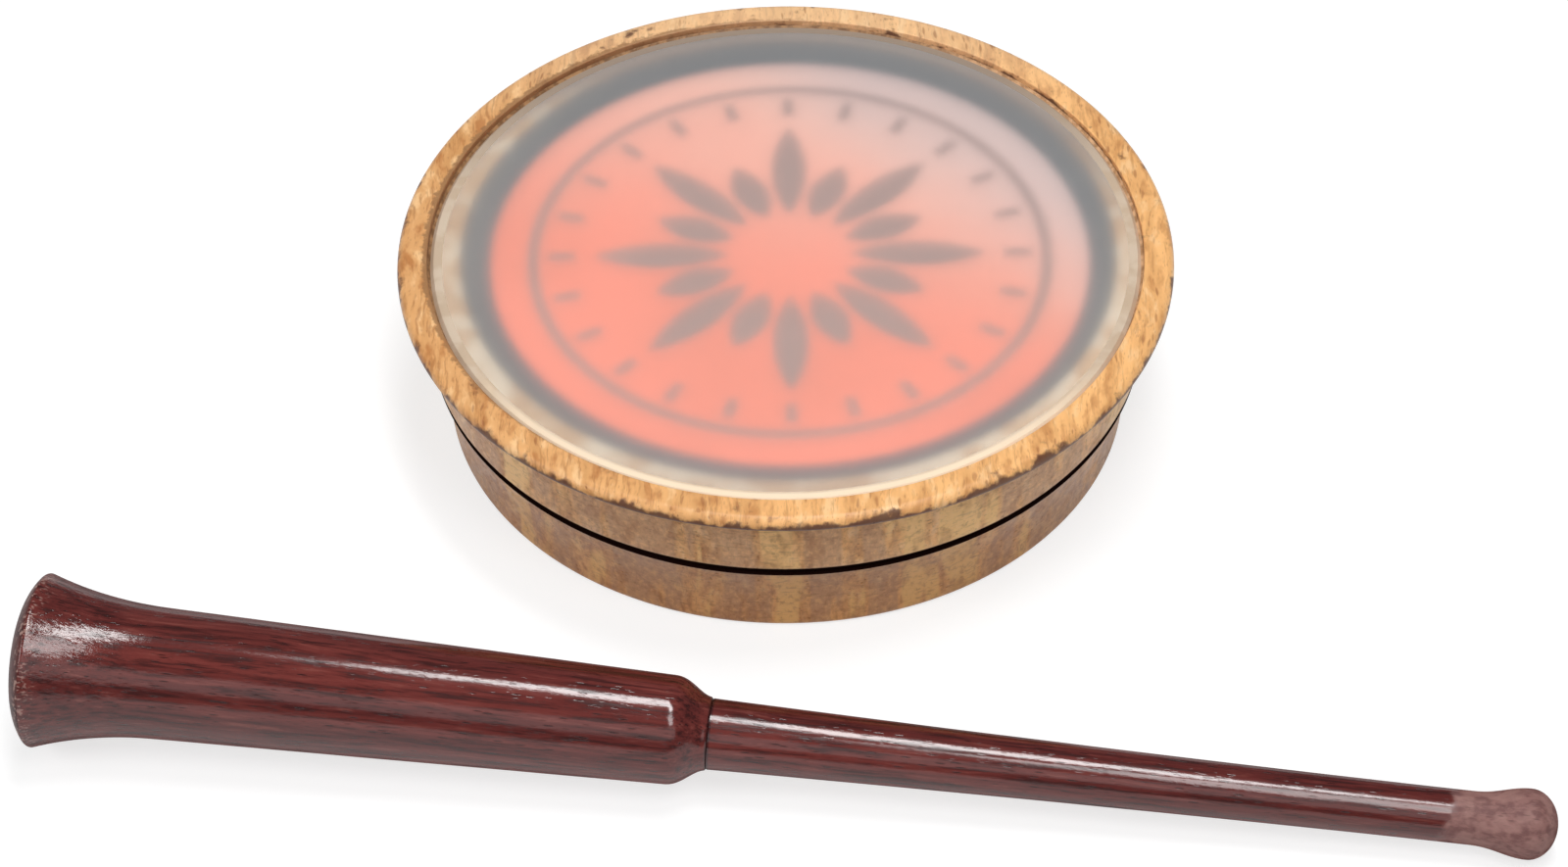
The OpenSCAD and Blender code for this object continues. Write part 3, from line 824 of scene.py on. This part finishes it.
def eased_corner(start, corner, end, steps):
    """Points that round off a corner, from start to end."""
    return [tuple((1 - u) ** 2 * a + 2 * u * (1 - u) * b + u ** 2 * c
                  for a, b, c in zip(start, corner, end))
            for u in stretch(0, 1, steps)]


def pot_outline():
    low = groove_z - groove_w / 2
    high = groove_z + groove_w / 2
    floor_half = groove_w * groove_floor_share / 2
    floor_r = groove_wall_r - groove_deep
    wall_end = low - groove_break

    def lower_wall_r(z):
        return foot_wall_r + lower_draw * ((z - foot_round) / (groove_z - foot_round)) ** wall_swell_power

    foot = arc(foot_wall_r - foot_round, foot_round, foot_round, foot_round, -90, 0, 8)
    lower_wall = [(lower_wall_r(z), z) for z in stretch(foot_round, wall_end, 20)[1:]]
    lower_lip = arc(lower_wall_r(low) - groove_break, wall_end, groove_break, groove_break, 0, 90, 4)
    groove = [(floor_r, groove_z - floor_half), (floor_r, groove_z + floor_half)]
    upper_lip = arc(groove_wall_r - groove_break, high + groove_break, groove_break, groove_break,
                    -90, 0, 4)
    upper_wall = [(groove_wall_r + upper_draw * u, high + groove_break + (cove_z - high - groove_break) * u)
                  for u in stretch(0, 1, 8)[1:]]
    cove = [(neck_wall_r + (rim_overhang - lip_round) * (1 - math.cos(t)), cove_z + cove_h * math.sin(t))
            for t in stretch(0, QUARTER, 12)[1:]]
    lip = arc(rim_r - lip_round, rim_z + lip_round, lip_round, lip_round, -90, 0, 6)[1:]
    shoulder = arc(rim_r - rim_round, pot_h - rim_round, rim_round, rim_round, 0, 90, 10)
    rim_top = [(r, pot_h) for r in stretch(rim_r - rim_round, recess_r + rim_break, 6)[1:-1]]
    inner_edge = arc(recess_r + rim_break, pot_h - rim_break, rim_break, rim_break, 90, 180, 5)
    recess = [(recess_r, z) for z in stretch(pot_h - rim_break, ledge_z, 4)[1:]]
    ledge = [(r, ledge_z) for r in stretch(recess_r, chamber_r, 4)[1:]]
    chamber = arc(chamber_r - chamber_fillet, floor_t + chamber_fillet, chamber_fillet, chamber_fillet,
                  0, -90, 8)
    pedestal = arc(pedestal_r + pedestal_fillet, floor_t + pedestal_fillet, pedestal_fillet,
                   pedestal_fillet, -90, -180, 8)
    return ([(0, 0)] + foot + lower_wall + lower_lip + groove + upper_lip + upper_wall + cove + lip
            + shoulder + rim_top + inner_edge + recess + ledge + chamber + pedestal
            + [(pedestal_r, pedestal_top_z), (0, pedestal_top_z)])


def glass_outline(sunk):
    """The disc's underside lies lower than drawn by sunk, so that the print sits in the glass."""
    edge = glass_bevel
    return [(0, glass_z - sunk), (glass_r - edge, glass_z - sunk), (glass_r, glass_z + edge),
            (glass_r, glass_top_z - edge), (glass_r - edge, glass_top_z),
            (glass_r - ground_band, glass_top_z), (0, glass_top_z)]


def bead_outline():
    """A ring that fills the gap between the disc and the recess, hollowed on top."""
    low = glass_z + glass_bevel
    wood_side = pot_h - bead_sunk
    glass_side = glass_top_z - glass_bevel
    sag = [(recess_r + (glass_r - recess_r) * u, wood_side + (glass_side - wood_side) * ease(u))
           for u in stretch(0, 1, 6)]
    return [(glass_r, low), (recess_r, low)] + sag + [(glass_r, low)]


def handle_outline():
    def grip_r(z):
        return grip_butt_r + (grip_neck_r - grip_butt_r) * z / shoulder_z

    dome = [(butt_r * u, -butt_dome_h * (1 - u ** dome_power))
            for u in stretch(0, 1 - butt_edge_round / butt_r, 28)]
    flare = [(grip_r(flare_l * u) + (butt_r - grip_butt_r) * (1 - u) ** flare_power, flare_l * u)
             for u in stretch(butt_edge_round / flare_l, 1, 24)]
    dome += eased_corner(dome[-1], (butt_r, 0), flare[0], 6)[1:-1]
    grip = [(grip_r(z), z) for z in stretch(flare_l, shoulder_z, 30)[1:-1]]
    shoulder = [(grip_neck_r + (handle_end_r - grip_neck_r) * ease(u ** shoulder_power),
                 shoulder_z + shoulder_l * u)
                for u in stretch(0, 1 - neck_chamfer / shoulder_l, 24)]
    end_r = handle_end_r - neck_chamfer
    bore = [(end_r, handle_l), (bore_r, handle_l), (bore_r, handle_l - bore_l), (0, handle_l - bore_l)]
    return dome + flare + grip + shoulder + bore


def peg_outline():
    tenon = [(0, handle_l - tenon_l), (tenon_r, handle_l - tenon_l), (tenon_r, handle_l)]
    shank = [(peg_waist_r + (peg_neck_r - peg_waist_r) * (1 - u) ** peg_taper_power,
              handle_l + (tip_flare_z - handle_l) * u)
             for u in stretch(0, 1, 48)]
    tip = [(peg_waist_r + (tip_r - peg_waist_r) * ease(u) ** tip_flare_power,
            tip_flare_z + tip_flare_l * u)
           for u in stretch(0, 1, 16)[1:]]
    dome = arc(0, tip_wide_z, tip_r, tip_dome_l, 0, 90, 20)[1:]
    return tenon + shank + tip + dome


def leaf_mesh():
    """A flat leaf one unit long and one unit wide, with pointed ends and closed sides."""
    edge = [(u, 0.5 * math.sin(math.pi * u) ** leaf_roundness) for u in stretch(0, 1, leaf_steps)[1:-1]]
    ring = [(0.0, 0.0)] + [(x, -y) for x, y in edge] + [(1.0, 0.0)] + [(x, y) for x, y in reversed(edge)]
    count = len(ring)
    verts = [(x, y, z) for z in (-0.5, 0.5) for x, y in ring]
    sides = [(i, (i + 1) % count, count + (i + 1) % count, count + i) for i in range(count)]
    mesh = bpy.data.meshes.new("leaf")
    mesh.from_pydata(verts, [], [tuple(reversed(range(count))), tuple(range(count, 2 * count))] + sides)
    return mesh


# Pieces

def lathe(name, outline, finish, steps_round, waver=0.0, waver_l=1.0, laid=False, more=()):
    """Turns a piece; waver is how deep the hand's unevenness cuts, waver_l how long its waves are."""
    values = {"Steps Round": steps_round, "Hand Waver": waver, "Waver Length": waver_l, "Finish": finish}
    if laid:
        values["Place"] = STRIKER_PLACE
        values["Turn"] = STRIKER_TURN
    return shape(name, outline_mesh(name + "_outline", outline), [(turned_tree, values), *more])


def second_finish(piece, finish, is_there):
    """Gives the faces that the test picks another finish."""
    piece.data.materials.append(finish)
    for face in piece.data.polygons:
        face.material_index = 1 if is_there(face) else 0


def on_ground_edge(face):
    on_face = face.normal.z > 0.99 and face.center.xy.length < glass_r - ground_band
    return not on_face


def on_butt_end(face):
    return (laid_down.inverted() @ face.center).z < 0


def place(piece, body, slot, node=None):
    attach(piece, body)
    if node:
        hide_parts(node)


turned_tree = turned_piece_tree()
holes_tree = sound_holes_tree()
marks_tree = print_marks_tree()

pot_wood = pot_wood_finish()
drilling = (holes_tree, {"Hole Count": hole_count, "Hole Radius": hole_r, "Ring Radius": hole_ring_r,
                         "Drill Depth": floor_t + chamber_fillet / 2, "Finish": pot_wood})
pot_piece = lathe("turned_pot", pot_outline(), pot_wood, pot_steps, more=[drilling])
place(pot_piece, "pot_body", "pot_wood", "pot")

glass_piece = lathe("frosted_disc", glass_outline(print_sunk), frosted_glass_finish(), disc_steps)
second_finish(glass_piece, ground_edge_finish(), on_ground_edge)
place(glass_piece, "pot_body", "frosted_glass", "striking_surface")

bead_piece = lathe("squeezed_glue", bead_outline(), bead_finish(), disc_steps,
                   waver=bead_waver, waver_l=bead_waver_l)
place(bead_piece, "pot_body", "clear_glue")

marks_piece = shape("print_marks", leaf_mesh(), [(marks_tree, {
    "Leaf Count": leaf_count, "Leaf Start": leaf_start, "Leaf Length": leaf_l, "Leaf Width": leaf_w,
    "Short Share": short_leaf_share, "Tick Count": tick_count, "Tick Length": tick_l,
    "Tick Radius": dial_r - tick_inset, "Ring Radius": dial_r, "Ring Width": dial_w, "Thickness": mark_t,
    "Middle": (field_mid.x, field_mid.y, glass_z), "Finish": ink_finish("mark_ink", MARK_INK)})])
place(marks_piece, "pot_body", "print_dark")

handle_piece = lathe("turned_handle", handle_outline(), striker_finish("striker_handle_wood", 60.0),
                     handle_steps, waver=handle_waver, waver_l=striker_waver_l, laid=True)
second_finish(handle_piece, butt_end_finish(), on_butt_end)
place(handle_piece, "striker", "striker_wood", "striker_handle")
peg_piece = lathe("turned_peg", peg_outline(), striker_finish("striker_peg_wood", 140.0),
                  peg_steps, waver=peg_waver, waver_l=striker_waver_l, laid=True)
place(peg_piece, "striker", "striker_wood", "striker_peg")

ledge_glue = ledge_glue_finish()
node_finishes = {
    "surface_glue": ledge_glue,
    "soundboard_glue": ledge_glue,
    "print_field": ink_finish("red_ink", RED_INK, back_sheen=RED_PAINTED_SHEEN, corner_sheen=RED_PAINTED_MILKY_SHEEN),
    "print_border": ink_finish("dark_ink", DARK_INK),
    "soundboard": slate_finish(),
    "peg_glue": wood_glue_finish(),
}
for node, finish in node_finishes.items():
    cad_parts[node].material_slots[0].material = finish


# Floor, lights and camera

def pale_floor():
    """Shows as white where it is lit and keeps the object's soft shadow."""
    half = 3.0
    mesh = bpy.data.meshes.new("floor")
    mesh.from_pydata([(-half, -half, 0), (half, -half, 0), (half, half, 0), (-half, half, 0)], [],
                     [(0, 1, 2, 3)])
    floor = bpy.data.objects.new("floor", mesh)
    bpy.context.scene.collection.objects.link(floor)
    finish = bpy.data.materials.new("floor_paint")
    finish.use_nodes = True
    tree = finish.node_tree
    tree.nodes.remove(tree.nodes["Principled BSDF"])
    matt = put(tree, "ShaderNodeBsdfDiffuse", {"Color": colour(0.66, 0.66, 0.66)}).outputs[0]
    shade = put(tree, "ShaderNodeBsdfDiffuse", {"Color": colour(0.40, 0.40, 0.40)}).outputs[0]
    glow = put(tree, "ShaderNodeEmission", {"Color": colour(1, 1, 1), "Strength": 0.70}).outputs[0]
    shown = put(tree, "ShaderNodeAddShader", {0: shade, 1: glow}).outputs[0]
    seen = calc(tree, "MAXIMUM", ray_is(tree, "Camera"),
                calc(tree, "MAXIMUM", ray_is(tree, "Glossy"), ray_is(tree, "Transmission")))
    whole = put(tree, "ShaderNodeMixShader", {0: seen, 1: matt, 2: shown}).outputs[0]
    under = put(tree, "ShaderNodeNewGeometry").outputs["Backfacing"]
    clear = put(tree, "ShaderNodeBsdfTransparent").outputs[0]
    open_below = put(tree, "ShaderNodeMixShader", {0: under, 1: whole, 2: clear}).outputs[0]
    tree.links.new(open_below, tree.nodes["Material Output"].inputs["Surface"])
    mesh.materials.append(finish)


def softbox(name, place, width, height, fill, aim=(0, 0, 0.02)):
    """An area light that adds fill to the level, from 0 to 1, of a level white face at aim."""
    lamp = bpy.data.lights.new(name, "AREA")
    lamp.shape = "RECTANGLE"
    lamp.size = width
    lamp.size_y = height
    away = Vector(place) - Vector(aim)
    slope = away.normalized().z
    lamp.energy = fill * math.pi ** 2 * away.length_squared / slope
    light = bpy.data.objects.new(name, lamp)
    light.location = place
    light.rotation_euler = away.to_track_quat("Z", "Y").to_euler()
    bpy.context.scene.collection.objects.link(light)


def studio():
    world = bpy.data.worlds.new("studio")
    world.use_nodes = True
    world.node_tree.nodes["Background"].inputs["Color"].default_value = colour(0.96, 0.98, 1.0)
    world.node_tree.nodes["Background"].inputs["Strength"].default_value = 0.15
    bpy.context.scene.world = world
    softbox("top_strip", (0.055, 0.04, 0.75), width=0.35, height=0.14, fill=0.50)
    softbox("overhead", (0.14, -0.33, 0.68), width=0.20, height=0.30, fill=0.22)
    softbox("front_fill", (0.04, -0.70, 0.50), width=0.90, height=0.40, fill=0.09)
    softbox("left_side", (-0.46, -0.24, 0.36), width=0.25, height=0.25, fill=0.13)


def photo_camera():
    """The photograph's view: 44.4 degrees above the table, from the front."""
    elevation = math.radians(44.382)
    roll = math.radians(-0.612)
    distance = 450 * MM
    target = Vector((-0.403, -31.349, 21.9)) * MM
    look = Vector((0, math.cos(elevation), -math.sin(elevation)))
    right = Vector((1, 0, 0))
    up = right.cross(look)
    frame_right = right * math.cos(roll) + up * math.sin(roll)
    frame_up = up * math.cos(roll) - right * math.sin(roll)
    lens = bpy.data.cameras.new("photo_camera")
    lens.lens = 93.37
    lens.sensor_width = 36
    lens.clip_start = 0.01
    camera = bpy.data.objects.new("photo_camera", lens)
    turned = Matrix((frame_right, frame_up, -look)).transposed().to_4x4()
    camera.matrix_world = Matrix.Translation(target - look * distance) @ turned
    bpy.context.scene.collection.objects.link(camera)
    bpy.context.scene.camera = camera


pale_floor()
studio()
photo_camera()
bpy.context.scene.view_settings.view_transform = "Standard"

bpy.context.view_layer.update()
